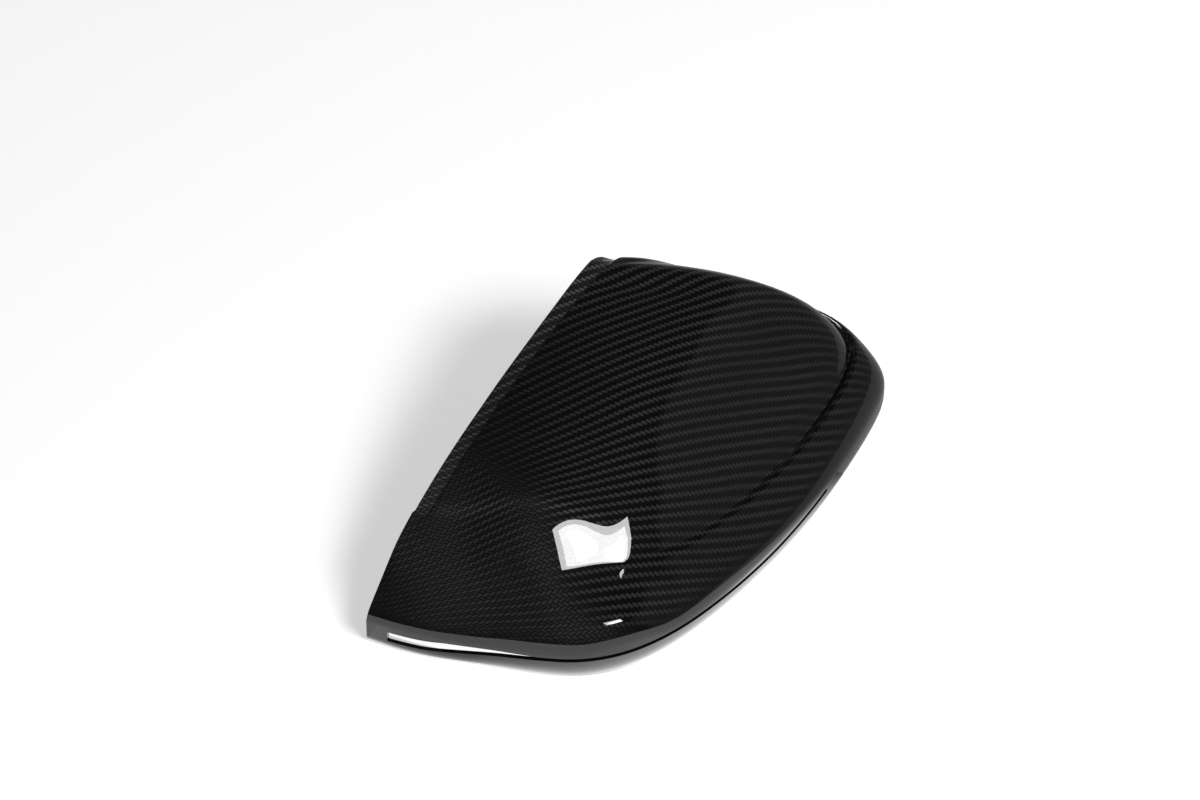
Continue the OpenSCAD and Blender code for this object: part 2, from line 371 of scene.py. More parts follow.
@dataclass
class Relief:
    """The skin's height over a plan grid, carried on past the outline, in millimetres."""

    skin: Skin
    step: float = 2
    margin: float = 24
    fall: float = 0.7
    samples_along: int = 16
    samples_across: int = 160
    smoothing: int = 3
    low: np.ndarray = field(init=False)
    z: np.ndarray = field(init=False)

    def __post_init__(self) -> None:
        """Averages points of the skin into the cells and fills the cells outside the outline."""
        t = np.linspace(0, self.skin.last, self.skin.last * self.samples_along + 1)
        share = np.linspace(0, 1, self.samples_across)
        tt, ss = np.meshgrid(t, share, indexing="ij")
        points = self.skin.dome(tt, ss * self.skin.span(tt)).reshape(-1, 3)
        self.low = points[:, :2].min(0) - self.margin
        size = np.ceil((points[:, :2].max(0) + self.margin - self.low) / self.step).astype(int) + 1
        cell = np.round((points[:, :2] - self.low) / self.step).astype(int)
        flat = cell[:, 0] * size[1] + cell[:, 1]
        total = np.bincount(flat, points[:, 2], size[0] * size[1]).reshape(size)
        count = np.bincount(flat, minlength=size[0] * size[1]).reshape(size)
        z = np.where(count > 0, total / np.maximum(count, 1), np.nan)
        while np.isnan(z).any():
            near = self.around(z)
            known = ~np.isnan(near)
            mean = np.where(known, near, 0).sum(0) / np.maximum(known.sum(0), 1)
            fill = np.isnan(z) & known.any(0)
            z[fill] = mean[fill] - self.fall * self.step
        for _ in range(self.smoothing):
            z = self.around(z).mean(0)
        self.z = z

    def around(self, z: np.ndarray) -> np.ndarray:
        """Lists, for every cell, the cell itself and its eight neighbours.

        Args:
            z: The grid, whose border is repeated outside it.

        Returns:
            Nine grids.
        """
        padded = np.pad(z, 1, mode="edge")
        n, m = z.shape
        return np.stack([padded[a : a + n, b : b + m] for a in range(3) for b in range(3)])

    def read(self, plan: np.ndarray) -> tuple[np.ndarray, np.ndarray]:
        """Reads height and slope at places in plan.

        Args:
            plan: Out and fwd of each place.

        Returns:
            The height, and its slopes along out and fwd.
        """
        x = np.clip((plan - self.low) / self.step, 0, np.array(self.z.shape) - 1.001)
        i, j = x[..., 0].astype(int), x[..., 1].astype(int)
        f, g = x[..., 0] - i, x[..., 1] - j
        a, b, c, d = self.z[i, j], self.z[i, j + 1], self.z[i + 1, j], self.z[i + 1, j + 1]
        height = (1 - f) * ((1 - g) * a + g * b) + f * ((1 - g) * c + g * d)
        along = ((1 - g) * (c - a) + g * (d - b)) / self.step
        across = ((1 - f) * (b - a) + f * (d - c)) / self.step
        return height, np.stack([along, across], -1)

    def point(self, plan: np.ndarray) -> np.ndarray:
        """Lifts places in plan on to the skin."""
        return np.concatenate([plan, self.read(plan)[0][..., None]], -1)


@dataclass
class Drape:
    """The twill cloth, laid over the skin as a net whose tows keep their spacing.

    Two tows through the seed are led over the skin with a steady turn. Every other crossing
    follows from its neighbours, as in a net, so the cloth shears where the skin curves.
    """

    relief: Relief
    seed: tuple[float, float] = (53, 50)
    tows_a_step: int = 4
    tow_outer: float = 1.655
    tow_inner: float = 1.44
    outer_at: float = 170
    inner_at: float = -80
    warp_heading: float = 9.6
    weft_heading: float = -62.1
    warp_turn_outwards: float = -0.4
    warp_turn_inwards: float = 0.08
    weft_turn_rim: float = -0.15
    weft_turn_front: float = -0.18
    warp_steps: tuple[int, int] = (26, 26)
    weft_steps: tuple[int, int] = (20, 20)
    lead_rounds: int = 4
    net_rounds: int = 5
    cell_rounds: int = 4
    longest_move: float = 4
    least_area: float = 1e-3

    def step_length(self, plan: np.ndarray) -> np.ndarray:
        """Gives the length of a step of the net at places in plan."""
        u = np.clip((plan[..., 0] - self.inner_at) / (self.outer_at - self.inner_at), 0, 1)
        return self.tows_a_step * (self.tow_inner + (self.tow_outer - self.tow_inner) * u)

    def lead(self, heading: float, turn: float, steps: int) -> np.ndarray:
        """Leads a tow over the skin from the seed.

        Args:
            heading: Direction in plan at the seed, in degrees.
            turn: Degrees that it turns for each millimetre.
            steps: How many steps of the net it goes.

        Returns:
            Places in plan, the seed first.
        """
        places = [np.array(self.seed, float)]
        angle = heading
        for _ in range(steps):
            here = places[-1]
            length = float(self.step_length(here))
            way = np.array([math.cos(math.radians(angle)), math.sin(math.radians(angle))])
            reach = length
            for _ in range(self.lead_rounds):
                step = self.relief.point(here + way * reach) - self.relief.point(here)
                reach *= length / np.linalg.norm(step)
            places.append(here + way * reach)
            angle += turn * length
        return np.array(places)

    def quarter(self, warp: np.ndarray, weft: np.ndarray) -> np.ndarray:
        """Fills the net between two led tows that start at the seed.

        Args:
            warp: Places along the warp tow.
            weft: Places along the weft tow.

        Returns:
            Places by warp step and weft step.
        """
        n, m = len(warp), len(weft)
        net = np.zeros((n, m, 2))
        net[:, 0] = warp
        net[0, :] = weft
        for total in range(2, n + m - 1):
            i = np.arange(max(1, total - m + 1), min(n - 1, total - 1) + 1)
            j = total - i
            beside, below = net[i, j - 1], net[i - 1, j]
            place = beside + below - net[i - 1, j - 1]
            from_beside, from_below = self.relief.point(beside), self.relief.point(below)
            lengths = self.step_length(beside) ** 2, self.step_length(below) ** 2
            for _ in range(self.net_rounds):
                place = place - self.correction(place, from_beside, from_below, lengths)
            net[i, j] = place
        return net

    def correction(
        self,
        place: np.ndarray,
        first: np.ndarray,
        second: np.ndarray,
        squares: tuple[np.ndarray, np.ndarray],
    ) -> np.ndarray:
        """Gives one Newton step that brings crossings to their distances from two neighbours.

        Args:
            place: Crossings in plan.
            first: Neighbours on the skin along the weft.
            second: Neighbours on the skin along the warp.
            squares: Squares of the two distances wanted.

        Returns:
            The steps in plan, none longer than longest_move.
        """
        height, slope = self.relief.read(place)
        here = np.concatenate([place, height[..., None]], -1)
        d1, d2 = here - first, here - second
        f1 = (d1 * d1).sum(-1) - squares[0]
        f2 = (d2 * d2).sum(-1) - squares[1]
        g1 = 2 * (d1[:, :2] + d1[:, 2:] * slope)
        g2 = 2 * (d2[:, :2] + d2[:, 2:] * slope)
        det = g1[:, 0] * g2[:, 1] - g1[:, 1] * g2[:, 0]
        det = np.where(np.abs(det) < self.least_area, self.least_area, det)
        x = (g2[:, 1] * f1 - g1[:, 1] * f2) / det
        y = (g1[:, 0] * f2 - g2[:, 0] * f1) / det
        step = np.stack([x, y], -1)
        size = np.linalg.norm(step, axis=-1, keepdims=True)
        return step / np.maximum(1, size / self.longest_move)

    def net(self) -> np.ndarray:
        """Lays the whole net: four quarters round the seed.

        Returns:
            The crossings in plan, by warp step and weft step.
        """
        out, inwards = self.warp_steps
        front, rim = self.weft_steps
        ahead = self.lead(self.warp_heading, self.warp_turn_outwards, out)
        back = self.lead(self.warp_heading + 180, self.warp_turn_inwards, inwards)
        to_rim = self.lead(self.weft_heading, self.weft_turn_rim, rim)
        to_front = self.lead(self.weft_heading + 180, self.weft_turn_front, front)
        net = np.zeros((out + inwards + 1, front + rim + 1, 2))
        net[inwards:, front:] = self.quarter(ahead, to_rim)
        net[inwards:, : front + 1] = self.quarter(ahead, to_front)[:, ::-1]
        net[: inwards + 1, front:] = self.quarter(back, to_rim)[::-1]
        net[: inwards + 1, : front + 1] = self.quarter(back, to_front)[::-1, ::-1]
        return net

    def tows_at(self, plan: np.ndarray) -> np.ndarray:
        """Reads the tow counts at places in plan.

        Args:
            plan: Out and fwd of each place, by column and row.

        Returns:
            The warp and weft counts, of the same shape.
        """
        net = self.net()
        n, m = net.shape[:2]
        corners = [Vector((x, y, 0)) for x, y in net.reshape(-1, 2)]
        cells = [
            (i * m + j, (i + 1) * m + j, (i + 1) * m + j + 1, i * m + j + 1)
            for i in range(n - 1)
            for j in range(m - 1)
        ]
        tree = BVHTree.FromPolygons(corners, cells)
        flat = plan.reshape(-1, 2)
        nearest = np.array([tree.find_nearest(Vector((x, y, 0)))[2] for x, y in flat])
        i, j = np.divmod(nearest, m - 1)
        counts = self.within(net, i, j, flat) * self.tows_a_step
        return counts.reshape(plan.shape)

    def within(self, net: np.ndarray, i: np.ndarray, j: np.ndarray, places: np.ndarray) -> np.ndarray:
        """Finds places inside cells of the net.

        Args:
            net: The net's crossings in plan.
            i: The cells' warp steps.
            j: The cells' weft steps.
            places: The places in plan, one for each cell.

        Returns:
            The places in steps of the net.
        """
        a, b, c, d = net[i, j], net[i + 1, j], net[i, j + 1], net[i + 1, j + 1]
        share = np.full(places.shape, 0.5)
        for _ in range(self.cell_rounds):
            u, v = share[:, :1], share[:, 1:]
            here = (1 - u) * ((1 - v) * a + v * c) + u * ((1 - v) * b + v * d)
            du = (1 - v) * (b - a) + v * (d - c)
            dv = (1 - u) * (c - a) + u * (d - b)
            miss = places - here
            det = du[:, 0] * dv[:, 1] - du[:, 1] * dv[:, 0]
            x = (miss[:, 0] * dv[:, 1] - miss[:, 1] * dv[:, 0]) / det
            y = (du[:, 0] * miss[:, 1] - du[:, 1] * miss[:, 0]) / det
            share = share + np.stack([x, y], -1)
        return np.stack([i, j], -1) + share


class NodeBook:
    """Short ways to add nodes to a tree and to link them."""

    def __init__(self, tree: bpy.types.NodeTree) -> None:
        """Keeps the tree that nodes are added to."""
        self.tree = tree

    def put(self, value: object, socket: bpy.types.NodeSocket) -> None:
        """Links an output to a socket, or sets the socket to a value.

        Args:
            value: The output or the value.
            socket: The input that takes it.
        """
        if isinstance(value, bpy.types.NodeSocket):
            self.tree.links.new(value, socket)
        else:
            socket.default_value = value

    def node(self, kind: str, inputs: dict[object, object]) -> bpy.types.Node:
        """Adds a node.

        Args:
            kind: The node's type.
            inputs: Outputs or values for its inputs, by name or number.

        Returns:
            The node.
        """
        node = self.tree.nodes.new(kind)
        for key, value in inputs.items():
            self.put(value, node.inputs[key])
        return node

    def math(self, operation: str, *values: object) -> bpy.types.NodeSocket:
        """Adds a Math node.

        Args:
            operation: The node's operation.
            values: Outputs or numbers for its inputs, in order.

        Returns:
            The node's output.
        """
        node = self.tree.nodes.new("ShaderNodeMath")
        node.operation = operation
        for value, socket in zip(values, node.inputs):
            self.put(value, socket)
        return node.outputs[0]

    def blend(self, share: object, first: object, second: object) -> bpy.types.NodeSocket:
        """Adds a Mix node for numbers: first where share is 0, second where it is 1."""
        return self.node("ShaderNodeMix", {0: share, 2: first, 3: second}).outputs[0]

    def tint(self, share: object, first: object, second: object) -> bpy.types.NodeSocket:
        """Adds a Mix node for colours.

        Args:
            share: Where it is 0 the first colour shows, where it is 1 the second, and on past it.
            first: A colour.
            second: A colour.

        Returns:
            The node's output.
        """
        node = self.tree.nodes.new("ShaderNodeMix")
        node.data_type = "RGBA"
        node.clamp_factor = False
        for value, place in zip((share, first, second), (0, 6, 7)):
            self.put(value, node.inputs[place])
        return node.outputs[2]

    def rise(self, value: object, start: float, width: float) -> bpy.types.NodeSocket:
        """Rises from 0 at start to 1 after width, and stays within them.

        Args:
            value: The output that is read.
            start: Where the rise starts.
            width: How far it goes on, with a minus sign where it goes downwards.

        Returns:
            The share risen.
        """
        risen = self.math("MULTIPLY_ADD", value, 1 / width, -start / width)
        risen.node.use_clamp = True
        return risen

    def crown(self, place: object, power: float) -> bpy.types.NodeSocket:
        """Gives the height of a rounded strip: 1 in its middle and 0 at its borders.

        Args:
            place: Place across the strip, from 0 to 1.
            power: How flat its top is.

        Returns:
            The height.
        """
        off = self.math("ABSOLUTE", self.math("MULTIPLY_ADD", place, 2, -1))
        return self.math("SUBTRACT", 1, self.math("POWER", off, power))

    def noise(self, place: bpy.types.NodeSocket, scale: float, detail: float) -> bpy.types.NodeSocket:
        """Adds a Noise Texture node and gives its factor."""
        inputs = {"Scale": scale, "Detail": detail, "Vector": place}
        return self.node("ShaderNodeTexNoise", inputs).outputs["Fac"]

    def parts(self, vector: bpy.types.NodeSocket) -> bpy.types.NodeOutputs:
        """Splits a vector into its three numbers."""
        return self.node("ShaderNodeSeparateXYZ", {0: vector}).outputs

    def stored(self, name: str) -> bpy.types.NodeSocket:
        """Reads one of the mesh's UV maps.

        Args:
            name: The map's name.

        Returns:
            The node's output.
        """
        node = self.tree.nodes.new("ShaderNodeUVMap")
        node.uv_map = name
        return node.outputs[0]


class Paint(NodeBook):
    """A new material with a Principled shader, written like a node book."""

    def __init__(self, name: str) -> None:
        """Makes the material.

        Args:
            name: Its name.
        """
        self.material = bpy.data.materials.new(name)
        self.material.use_nodes = True
        super().__init__(self.material.node_tree)
        self.shader = self.tree.nodes["Principled BSDF"]

    def dress(self, inputs: dict[str, object]) -> None:
        """Sets or links inputs of the shader.

        Args:
            inputs: Outputs or values, by the input's name.
        """
        for name, value in inputs.items():
            self.put(value, self.shader.inputs[name])

    def bump(self, height: bpy.types.NodeSocket, depth: float) -> bpy.types.NodeSocket:
        """Adds a Bump node and gives its normal."""
        inputs = {"Height": height, "Distance": depth, "Strength": 1}
        return self.node("ShaderNodeBump", inputs).outputs[0]


def twill_group() -> bpy.types.NodeTree:
    """Makes the two-over-two twill: which tow is on top, its height and its fibres.

    Returns:
        The node group, with a tow count vector in and masks out. It is built once.
    """
    name = "twill_weave"
    if name in bpy.data.node_groups:
        return bpy.data.node_groups[name]
    repeat = 4
    last_warp = 1.5
    end_power, side_power = 3, 2
    fibres_along, fibres_across, tow_apart = 0.4, 9, 1.7
    fibre_scale, fibre_detail = 1, 2
    tree = bpy.data.node_groups.new(name, "ShaderNodeTree")
    tree.interface.new_socket("Tows", in_out="INPUT", socket_type="NodeSocketVector")
    for output in ("Warp", "Height", "Fibre"):
        tree.interface.new_socket(output, in_out="OUTPUT", socket_type="NodeSocketFloat")
    source = tree.nodes.new("NodeGroupInput")
    result = tree.nodes.new("NodeGroupOutput")
    book = NodeBook(tree)
    u, v, _ = book.parts(source.outputs["Tows"])
    u_tow, v_tow = book.math("FLOOR", u), book.math("FLOOR", v)
    u_part, v_part = book.math("FRACT", u), book.math("FRACT", v)
    turn = book.math("FLOORED_MODULO", book.math("SUBTRACT", u_tow, v_tow), repeat)
    warp = book.math("LESS_THAN", turn, last_warp)
    turn_back = book.math("SUBTRACT", repeat - 1, turn)
    warp_along = book.math("MULTIPLY", book.math("ADD", turn, u_part), 0.5)
    weft_along = book.math("MULTIPLY", book.math("ADD", turn_back, v_part), 0.5)
    along = book.blend(warp, weft_along, warp_along)
    across = book.blend(warp, u_part, v_part)
    tow = book.blend(warp, u_tow, v_tow)
    height = book.math("MULTIPLY", book.crown(along, end_power), book.crown(across, side_power))
    shares = zip((along, across, tow), (fibres_along, fibres_across, tow_apart))
    strand = [book.math("MULTIPLY", value, share) for value, share in shares]
    place = book.node("ShaderNodeCombineXYZ", dict(enumerate(strand))).outputs[0]
    fibre = book.noise(place, fibre_scale, fibre_detail)
    for value, output in ((warp, "Warp"), (height, "Height"), (fibre, "Fibre")):
        tree.links.new(value, result.inputs[output])
    return tree


@dataclass(frozen=True)
class ClearCoatedTwill:
    """Black twill cloth in resin under polished clear coat."""

    name: str = "clear_coated_twill"
    # Tow colour with the full painted highlight and with none: lit and unlit copies of one black
    # cloth
    tow_painted_lit: Colour = (0.036, 0.036, 0.0364, 1)
    tow_painted_unlit: Colour = (0.0015, 0.0015, 0.0015, 1)
    gap_colour: Colour = (0.0005, 0.0005, 0.0005, 1)
    crown_shade_power: float = 0.75
    fibre_dark: float = 0.6
    fibre_contrast: float = 0.8
    roughness: float = 0.5
    fibre_roughness: float = 0.12
    specular: float = 0.01
    relief: float = 0.00018
    coat: float = 1
    coat_roughness: float = 0.012

    def material(self) -> bpy.types.Material:
        """Makes the material.

        Returns:
            The material, which reads the mesh's map named tows and its map of painted highlight on
            the fibres.
        """
        paint = Paint(self.name)
        count = paint.tree.nodes.new("ShaderNodeVectorMath")
        count.operation = "SCALE"
        paint.put(paint.stored("tows"), count.inputs[0])
        paint.put(TOWS_A_PART, count.inputs["Scale"])
        weave = paint.tree.nodes.new("ShaderNodeGroup")
        weave.node_tree = twill_group()
        paint.put(count.outputs[0], weave.inputs["Tows"])
        warp, height, fibre = weave.outputs
        # Painted highlight: each tow is lightened by how well its fibres lie across the key light
        warp_painted_sheen, weft_painted_sheen, _ = paint.parts(paint.stored("painted_sheen"))
        painted_shine = paint.blend(warp, weft_painted_sheen, warp_painted_sheen)
        tow = paint.tint(painted_shine, self.tow_painted_unlit, self.tow_painted_lit)
        # Partly painted shade: each float darkens from its crown towards its rounded borders, where
        # the dark resin between tows shows; fibre streaks vary it
        crown = paint.math("POWER", height, self.crown_shade_power)
        fibres = paint.math("MULTIPLY_ADD", fibre, self.fibre_contrast, self.fibre_dark)
        crown_shade_and_fibres = paint.math("MULTIPLY", crown, fibres)
        smoothest = self.roughness - self.fibre_roughness / 2
        paint.dress({
            "Base Color": paint.tint(crown_shade_and_fibres, self.gap_colour, tow),
            "Roughness": paint.math("MULTIPLY_ADD", fibre, self.fibre_roughness, smoothest),
            "Normal": paint.bump(height, self.relief),
            "Specular IOR Level": self.specular,
            "Coat Weight": self.coat,
            "Coat Roughness": self.coat_roughness,
        })
        return paint.material


@dataclass(frozen=True)
class BareLaminate(ClearCoatedTwill):
    """The inside of the laminate: the same cloth in matt resin, with no coat, which carries the same
    painted highlight on its fibres as the outside.
    """

    name: str = "bare_laminate"
    tow_painted_lit: Colour = (0.04, 0.04, 0.041, 1)
    tow_painted_unlit: Colour = (0.02, 0.02, 0.021, 1)
    gap_colour: Colour = (0.008, 0.008, 0.008, 1)
    roughness: float = 0.55
    relief: float = 0.00025
    specular: float = 0.3
    coat: float = 0


@dataclass(frozen=True)
class MouldedPlastic:
    """Matt moulded plastic of the clips."""

    name: str = "moulded_plastic"
    dark: Colour = (0.02, 0.02, 0.021, 1)
    pale: Colour = (0.035, 0.035, 0.036, 1)
    roughness: float = 0.6
    patch_roughness: float = 0.2
    patches: float = 120
    patch_detail: float = 3
    grain: float = 2500
    grain_detail: float = 1
    relief: float = 0.00003

    def material(self) -> bpy.types.Material:
        """Makes the material.

        Returns:
            The material.
        """
        paint = Paint(self.name)
        place = paint.node("ShaderNodeTexCoord", {}).outputs["Object"]
        patch = paint.noise(place, self.patches, self.patch_detail)
        smoothest = self.roughness - self.patch_roughness / 2
        paint.dress({
            "Base Color": paint.tint(patch, self.dark, self.pale),
            "Roughness": paint.math("MULTIPLY_ADD", patch, self.patch_roughness, smoothest),
            "Normal": paint.bump(paint.noise(place, self.grain, self.grain_detail), self.relief),
        })
        return paint.material


@dataclass
class CoverShell:
    """The laminate: outer skin, inner skin, rims and lamp slot, as one closed mesh."""

    skin: Skin
    columns_a_station: int = 16
    wall_rows: int = 6
    band_above_slot: int = 6
    edge_rows: int = 8
    ledge_rows: int = 8
    crease_rows: int = 18
    dome_rows: int = 28
    band_rows: int = 24
    crease_strip: tuple[float, float] = (5, 7)
    crease_room: float = 0.4
    band_strip: float = 9.5
    band_room: float = 0.5
    least_depth: float = 0.01
    cut_edge: float = 0.35
    cut_segments: int = 2
    cut_from: float = 50
    sharp_from: float = 40
    thickness: float = 2
    rim_band: float = 6.5
    rim_step: float = 1.5
    rim_slope: float = 1.4
    rim_band_end: float = 135
    rim_band_corner: float = 5
    rim_blend: float = 8
    slot_from: float = 0.75
    slot_to: float = 11.5
    # Half-way direction between the key light and the camera, for which the painted highlight on the
    # fibres is worked out
    halfway: tuple[float, float, float] = (0.378, 0.516, 0.769)
    painted_sheen_at: tuple[float, float] = (0.32, 0.04)
    painted_sheen_width: tuple[float, float] = (0.17, 0.27)
    band_painted_sheen: tuple[float, float] = (0.5, 1.3)
    ridge_painted_sheen: float = 0.9
    ledge_painted_shade: float = 0.4
    ledge_fade: float = 6
    ridge_width: float = 2.5
    ridge_ends: tuple[tuple[float, float], tuple[float, float]] = ((129, 10), (96, 69))

    @property
    def bend(self) -> int:
        """Number of the first row above the rounded edge."""
        return self.wall_rows + 1 + self.band_above_slot + self.edge_rows

    def dome_places(self, t: float) -> np.ndarray:
        """Lists where the dome's rows lie, close together at the crease and the glass rim.

        Args:
            t: A station.

        Returns:
            Distances from the outline.
        """
        here = np.array([t])
        length = self.skin.span(here)[0]
        radius = self.skin.edge_round(here)[0]
        crease = self.skin.crease_at(here)[0]
        depth = max(self.skin.foot(here)[0, 1], self.least_depth)
        fwd = np.linspace(self.band_strip, 0, self.band_rows)
        band = length * (1 - np.minimum(fwd / depth, self.band_room * fwd / self.band_strip))
        low = max(crease - self.crease_strip[0], radius + (crease - radius) * self.crease_room)
        high = min(crease + self.crease_strip[1], crease + (band[0] - crease) * self.crease_room)
        parts = [
            np.linspace(radius, low, self.ledge_rows + 1)[:-1],
            np.linspace(low, high, self.crease_rows + 1)[:-1],
            np.linspace(high, band[0], self.dome_rows + 1)[:-1],
            band,
        ]
        return np.concatenate(parts)

    def station_points(self, t: float) -> np.ndarray:
        """Lists the outer points of a station, from the foot to the glass rim.

        Args:
            t: The station.

        Returns:
            The points.
        """
        skin = self.skin
        here = np.array([t])
        lip = skin.lip_height(here)[0]
        roof = lip + skin.slot_height(here)[0]
        edge = skin.dome(here, np.zeros(1))[0, 2]
        low = np.linspace(0, lip, self.wall_rows + 1)
        high = np.linspace(roof, edge, self.band_above_slot + 1)[:-1]
        z = np.concatenate([low, high])
        wall = skin.wall(np.full(len(z), t), z)
        radius = skin.edge_round(here)[0]
        angles = np.linspace(0, math.pi / 2, self.edge_rows + 1)[:-1]
        q = np.concatenate([radius * (1 - np.cos(angles)), self.dome_places(t)])
        return np.concatenate([wall, skin.dome(np.full(len(q), t), q)])

    def recess(self, points: np.ndarray) -> np.ndarray:
        """Says how deep the band along the glass rim is stepped in.

        Args:
            points: Outer points.

        Returns:
            The depth at each point.
        """
        r = self.rim_band_corner
        x = points[..., 0] - self.rim_band_end + r
        y = points[..., 1] - self.rim_band + r
        outside = np.hypot(np.maximum(x, 0), np.maximum(y, 0))
        distance = outside + np.minimum(np.maximum(x, y), 0) - r
        return self.rim_step * ramp(0.5 - distance / self.rim_slope)

    def painted_sheen(self, grid: np.ndarray, counts: np.ndarray) -> np.ndarray:
        """Paints a highlight on the fibres: says how well those of warp and weft lie across one fixed
        key light, for one fixed view, at each point.

        Args:
            grid: Outer points, by column and row.
            counts: Tow counts at the points.

        Returns:
            The share of the full painted highlight, for warp and for weft.
        """
        by_column, by_row = np.gradient(counts, axis=0), np.gradient(counts, axis=1)
        along, across = np.gradient(grid, axis=0), np.gradient(grid, axis=1)
        warp = along * by_row[..., 1:] - across * by_column[..., 1:]
        weft = across * by_column[..., :1] - along * by_row[..., :1]
        fibres = np.stack([warp, weft], -2)
        fibres /= np.linalg.norm(fibres, axis=-1, keepdims=True) + 1e-9
        off = fibres @ np.array(self.halfway) - np.array(self.painted_sheen_at)
        return np.exp(-0.5 * (off / np.array(self.painted_sheen_width)) ** 2)

    def near_ridge(self, grid: np.ndarray) -> np.ndarray:
        """Falls from 1 at the ridge between dome and facet to 0 beside it.

        Args:
            grid: Outer points, by column and row.

        Returns:
            The nearness of each point, by column and row.
        """
        first, last = np.array(self.ridge_ends, float)
        way = last - first
        share = np.clip((grid[..., :2] - first) @ way / (way @ way), 0, 1)
        gap = np.linalg.norm(grid[..., :2] - first - share[..., None] * way, axis=-1)
        return np.exp(-((gap / self.ridge_width) ** 2))

    def write_map(self, mesh: bpy.types.Mesh, name: str, values: np.ndarray) -> None:
        """Writes a UV map, the same outside and inside.

        Args:
            mesh: The shell's mesh.
            name: The map's name.
            values: A pair of numbers for each outer point, by column and row.
        """
        corners = np.empty(len(mesh.loops), np.int32)
        mesh.loops.foreach_get("vertex_index", corners)
        both = np.concatenate([values.reshape(-1, 2)] * 2)
        layer = mesh.uv_layers.new(name=name)
        layer.data.foreach_set("uv", both[corners].astype(np.float32).ravel())

    def tow_counts(self, grid: np.ndarray) -> np.ndarray:
        """Counts the tows over the dome, and on at the same rate down the edge and the wall.

        Args:
            grid: Outer points, by column and row.

        Returns:
            The counts of warp and weft, by column and row.
        """
        bend = self.bend
        counts = np.zeros(grid.shape[:2] + (2,))
        counts[:, bend:] = Drape(Relief(self.skin)).tows_at(grid[:, bend:, :2])
        reach = np.linalg.norm(grid[:, bend + 2] - grid[:, bend], axis=-1)
        rate = (counts[:, bend] - counts[:, bend + 2]) / reach[:, None]
        for j in range(bend - 1, -1, -1):
            down = np.linalg.norm(grid[:, j] - grid[:, j + 1], axis=-1)
            counts[:, j] = counts[:, j + 1] + rate * down[:, None]
        return counts

    def full_painted_sheen(self, grid: np.ndarray, counts: np.ndarray) -> np.ndarray:
        """Adds to the fibres' painted highlight: more on the band along the glass rim and at the
        ridge, less on the ledge below the crease, and none down the edge and the wall.

        Args:
            grid: Outer points, by column and row.
            counts: Tow counts at the points.

        Returns:
            The painted highlight of warp and weft, by column and row.
        """
        painted_sheen = self.painted_sheen(grid, counts)
        # Painted highlight: tows in the stepped band along the glass rim are lightened, weft more
        # than warp
        painted_sheen += self.recess(grid)[..., None] / self.rim_step * np.array(self.band_painted_sheen)
        # Painted highlight: tows near the ridge between dome and facet are lightened
        painted_sheen *= 1 + self.ridge_painted_sheen * self.near_ridge(grid)[..., None]
        # Painted shade: less highlight on the tows below the middle of the crease, the more where the
        # crease is deep
        rows = np.arange(grid.shape[1])
        stations = np.linspace(0, self.skin.last, len(grid))
        creased = np.clip(self.skin.value(Measure.CREASE, stations), 0, 1)
        ledge = ramp((self.bend + self.ledge_rows + self.crease_rows / 2 - rows) / self.ledge_fade)
        painted_sheen *= 1 - self.ledge_painted_shade * (creased[:, None] * ledge)[..., None]
        # The painted highlight fades out over the rounded edge and is gone on the wall
        painted_sheen *= ramp((rows - self.bend + self.edge_rows) / self.edge_rows)[:, None]
        return painted_sheen

    def normals(self, grid: np.ndarray) -> np.ndarray:
        """Gives the outward direction at each point of the grid.

        Args:
            grid: Outer points, by column and row.

        Returns:
            Unit vectors that lie level at the foot and in the rim's plane at the rim.
        """
        along = np.empty_like(grid)
        across = np.empty_like(grid)
        along[1:-1] = grid[2:] - grid[:-2]
        along[0] = along[1]
        along[-1] = along[-2]
        across[:, 1:-1] = grid[:, 2:] - grid[:, :-2]
        across[:, 0] = across[:, 1]
        across[:, -1] = across[:, -2]
        n = np.cross(along, across)
        n[0] = n[1]
        n[-1] = n[-2]
        n /= np.linalg.norm(n, axis=-1, keepdims=True)
        near_rim = np.minimum(1, grid[..., 1] / self.rim_blend)
        near_rim[0] = 0
        near_rim[-1] = 0
        near_rim[:, -1] = 0
        n[..., 1] *= near_rim
        n[:, 0, 2] = 0
        return n / np.linalg.norm(n, axis=-1, keepdims=True)

    def build(self, corner: np.ndarray) -> bpy.types.Object:
        """Makes the shell's mesh.

        Args:
            corner: Low x and high y of the solid shell, in millimetres.

        Returns:
            The finished object.
        """
        ts = np.linspace(0, self.skin.last, self.skin.last * self.columns_a_station + 1)
        grid = np.stack([self.station_points(float(t)) for t in ts])
        normals = self.normals(grid)
        outer = grid - normals * self.recess(grid)[..., None]
        inner = outer - normals * self.thickness
        points = np.concatenate([outer.reshape(-1, 3), inner.reshape(-1, 3)])
        coated, bare = self.faces(*grid.shape[:2])
        mesh = bpy.data.meshes.new("twill_shell")
        mesh.from_pydata(in_frame(points, corner).tolist(), [], coated + bare)
        mesh.update()
        for finish in (ClearCoatedTwill(), BareLaminate()):
            mesh.materials.append(finish.material())
        sides = np.repeat([0, 1], [len(coated), len(bare)]).astype(np.int32)
        mesh.polygons.foreach_set("material_index", sides)
        counts = self.tow_counts(grid)
        self.write_map(mesh, "tows", counts / TOWS_A_PART)
        # Painted highlight: how light each tow is under one key light from one view, stored as a map
        self.write_map(mesh, "painted_sheen", self.full_painted_sheen(grid, counts))
        mesh.shade_smooth()
        mesh.set_sharp_from_angle(angle=math.radians(self.sharp_from))
        piece = bpy.data.objects.new("twill_shell", mesh)
        bpy.context.scene.collection.objects.link(piece)
        self.ease_edges(piece)
        return piece

